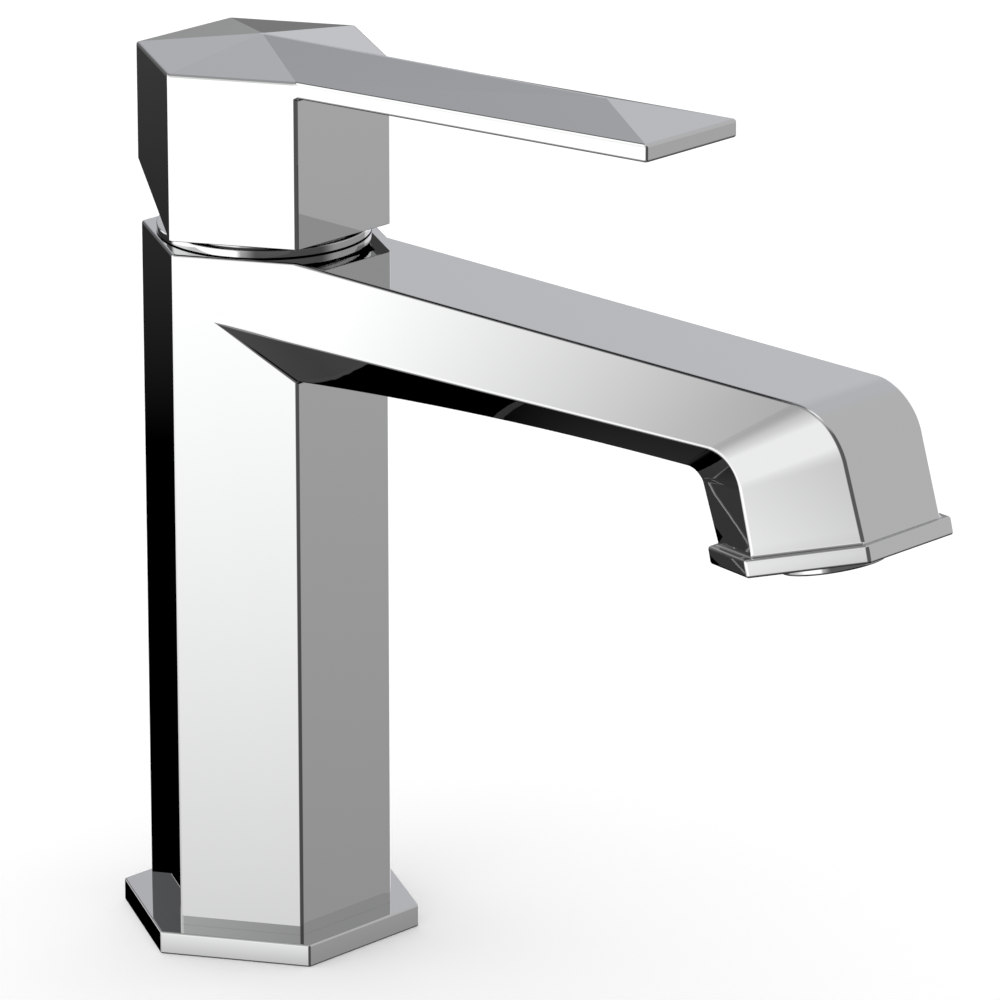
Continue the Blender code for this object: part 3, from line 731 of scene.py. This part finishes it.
def threaded_end(name, at, outer, inner, length, pitch):
    """A sleeve whose bore has the ridges of a screw thread."""
    crest, valley = inner + 0.08 * MM, inner + THREAD_DEEP
    profile = [(outer, length), (outer, 0.3 * MM), (outer - 0.3 * MM, 0), (valley, 0)]
    turns = int((length - 2 * pitch) / pitch)
    for k in range(turns):
        low = 0.5 * MM + k * pitch
        profile += [(crest, low), (crest, low + pitch * 0.15),
                    (valley, low + pitch * 0.5), (valley, low + pitch * 0.65)]
    profile += [(crest, 0.5 * MM + turns * pitch), (crest, length)]
    return polish(spun(name, profile, (*at, 0), 0.0, 64), 30)


for name, node_name, at, sizes in (("hot_port", "hot_inlet_port", (-PORT_X, 0), PORT),
                                   ("cold_port", "cold_inlet_port", (PORT_X, 0), PORT),
                                   ("rear_socket", "rear_stud_socket", (0, STUD_Y), SOCKET),
                                   ("front_socket", "front_stud_socket", (0, -STUD_Y), SOCKET)):
    dress(threaded_end(name, at, *sizes), brass, "mixer", node_name)

# ---------------------------------------------------------------------------------------
# The pieces inside: moulded insert, cartridge, discs, stem, nut and seals. They keep their
# own shapes, each in the finish of its material.

inner_finish = {
    "polished_chrome": chrome,
    "black_rubber": rubber,
    "white_plastic": white_plastic,
    "raw_brass": brass,
    "stainless_steel": grained("stainless_steel", (0.62, 0.61, 0.60), 0.24, 1.0, 1200.0, 0.12),
    "blue_plastic": grained("blue_plastic", (0.42, 0.54, 0.66), 0.42, 0.0, 1300.0, 0.12),
    "grey_plastic": grained("grey_plastic", (0.24, 0.25, 0.26), 0.5, 0.0, 1100.0, 0.2),
    "white_ceramic": grained("white_ceramic", (0.88, 0.86, 0.81), 0.14, 0.0, 700.0, 0.04),
}
slot_of = {part["node"]: part["material_slot"] for part in frame["record"]["subparts"]}
for name, piece in frame["nodes"].items():
    piece.data.materials.clear()
    piece.data.materials.append(inner_finish[slot_of[name]])

# ---------------------------------------------------------------------------------------
# Studio: a pale floor, a soft white room, and the tones that the mirror finish picks up.

FLOOR_SIZE = 16.0
DEGREES = math.degrees(1)


def make_floor():
    bpy.ops.object.select_all(action="DESELECT")
    bpy.ops.mesh.primitive_plane_add(size=FLOOR_SIZE)
    floor = named("floor")
    made, tree, shader = finish("pale_floor", (0.96, 0.96, 0.96), 0.9, 0.0)
    shader.inputs["Specular IOR Level"].default_value = 0.0
    shader.inputs["Emission Color"].default_value = (1, 1, 1, 1)
    shader.inputs["Emission Strength"].default_value = 0.05
    floor.data.materials.append(made)
    floor.visible_glossy = False
    return floor


make_floor()


def between(value, start, full, fade, end):
    """1 from full to fade, 0 outside start to end, soft at both sides."""
    return value.rising(start, full) * (1 - value.rising(fade, end))


def room_tones(bearing, aside, lift, x):
    """How bright the room looks in each direction, in degrees round and degrees up."""
    # The front half: pale from the horizon up, dark to the side, with a dim glow low on the left.
    shade = between(bearing, -162, -142, -72, -50) * (1 - lift.ramp(50, 66))
    near_left = (x * -1).rising(0.2, 0.45) * (1 - lift.ramp(-40, -20))
    front = lift.ramp(-42, -11) * 0.81 * (1 - shade * 0.78) + near_left * 0.17
    # The rear half: dark below the horizon, pale above it, with a dimmer wall to the right.
    wall = between(bearing, 64, 74, 106, 118) * lift.ramp(-5, 5)
    sky = 0.77 - bearing.rising(36, 54) * 0.18 - bearing.ramp(54, 64) * 0.05 - wall * 0.34
    rear = lift.ramp(-18, -10) * 0.16 + (1 - bearing.rising(50, 66)) * 0.08
    rear = rear + lift.ramp(-1, 9) * (sky - 0.16)
    rearward = bearing.rising(20, 45) * (1 - bearing.rising(150, 170))
    above = lift.ramp(0, 14) * bearing.rising(20, 34) * (1 - rearward)
    walls = front * (1 - rearward) + rear * rearward
    walls = walls + above * (sky - walls)
    # The softboxes: the key on the left, a strip behind, a fill at the right, one overhead and one low.
    key = (aside - lift.ramp(-3.5, 46.5) * 10).ramp(-20.5, -15.2) * (1 - aside.rising(66, 74))
    key = key * lift.ramp(-26.8, -16.3) * (1 - lift.ramp(29.5, 47))
    bright = 2.0 - lift.rising(-12, 4) * (1 - aside.rising(38, 50)) * 0.42
    strip = between(bearing, 82, 86, 94, 98) * between(lift, -10, -6, 28, 34)
    fill = between(bearing, 0, 6, 27, 33) * between(lift, -30, -22, 20, 28)
    top = lift.rising(70, 84)
    below = between(bearing, 92, 112, 150, 168) * between(lift, -53, -42, -34, -18)
    for box, level in ((below, 0.5), (key, bright), (strip, 1.7), (fill, 1.6), (top, 1.6)):
        walls = walls + box * (level - walls)
    return walls


def make_room():
    """White light for the floor and the dull pieces, and the toned room for the mirror."""
    world = bpy.data.worlds.new("room")
    bpy.context.scene.world = world
    world.use_nodes = True
    tree = world.node_tree
    tree.nodes.clear()
    direction = node(tree, "ShaderNodeTexCoord")
    split = tree.nodes.new("ShaderNodeSeparateXYZ")
    tree.links.new(direction.socket, split.inputs[0])
    x, y, z = (Maths(tree, split.outputs[k]) for k in range(3))
    bearing = node(tree, "ShaderNodeMath", {"operation": "ARCTAN2"}, {0: y, 1: x}) * DEGREES
    aside = node(tree, "ShaderNodeMath", {"operation": "ARCTAN2"}, {0: y, 1: x * -1}) * DEGREES
    lift = node(tree, "ShaderNodeMath", {"operation": "ARCSINE"}, {0: z}) * DEGREES
    walls = room_tones(bearing, aside, lift, x)
    cool = lift.ramp(0, 12) * (1 - bearing.rising(80, 105)) * bearing.rising(0, 20) * 0.06
    colour = node(tree, "ShaderNodeCombineColor", None,
                  {"Red": walls, "Green": walls * 1.006, "Blue": walls * (1 + cool)})
    mirrored = tree.nodes.new("ShaderNodeBackground")
    tree.links.new(colour.socket, mirrored.inputs["Color"])
    plain_white = tree.nodes.new("ShaderNodeBackground")
    plain_white.inputs["Color"].default_value = (1, 1, 1, 1)
    plain_white.inputs["Strength"].default_value = 1.08
    ray = tree.nodes.new("ShaderNodeLightPath")
    mix = tree.nodes.new("ShaderNodeMixShader")
    tree.links.new(ray.outputs["Is Glossy Ray"], mix.inputs[0])
    tree.links.new(plain_white.outputs[0], mix.inputs[1])
    tree.links.new(mirrored.outputs[0], mix.inputs[2])
    output = tree.nodes.new("ShaderNodeOutputWorld")
    tree.links.new(mix.outputs[0], output.inputs[0])


make_room()

# ---------------------------------------------------------------------------------------
# Camera: a long lens, a little above the spout, from the front left.

TURN, RISE = math.radians(-46.09), math.radians(18.485)
DISTANCE = 59.96 * COLUMN_R
ASIDE, ABOVE = 1.8435 * COLUMN_R, 3.5038 * COLUMN_R
LENS, SENSOR = 272.87, 36.0


def make_camera():
    away = Vector((math.sin(TURN) * math.cos(RISE), -math.cos(TURN) * math.cos(RISE), math.sin(RISE)))
    right = Vector((0, 0, 1)).cross(away).normalized()
    bpy.ops.object.camera_add(location=away * DISTANCE + Vector((0, 0, ABOVE)) + right * ASIDE)
    camera = bpy.context.active_object
    camera.rotation_mode = "QUATERNION"
    camera.rotation_quaternion = away.to_track_quat("Z", "Y")
    camera.data.lens = LENS
    camera.data.sensor_width = SENSOR
    bpy.context.scene.camera = camera


make_camera()
bpy.context.scene.view_settings.view_transform = "Standard"
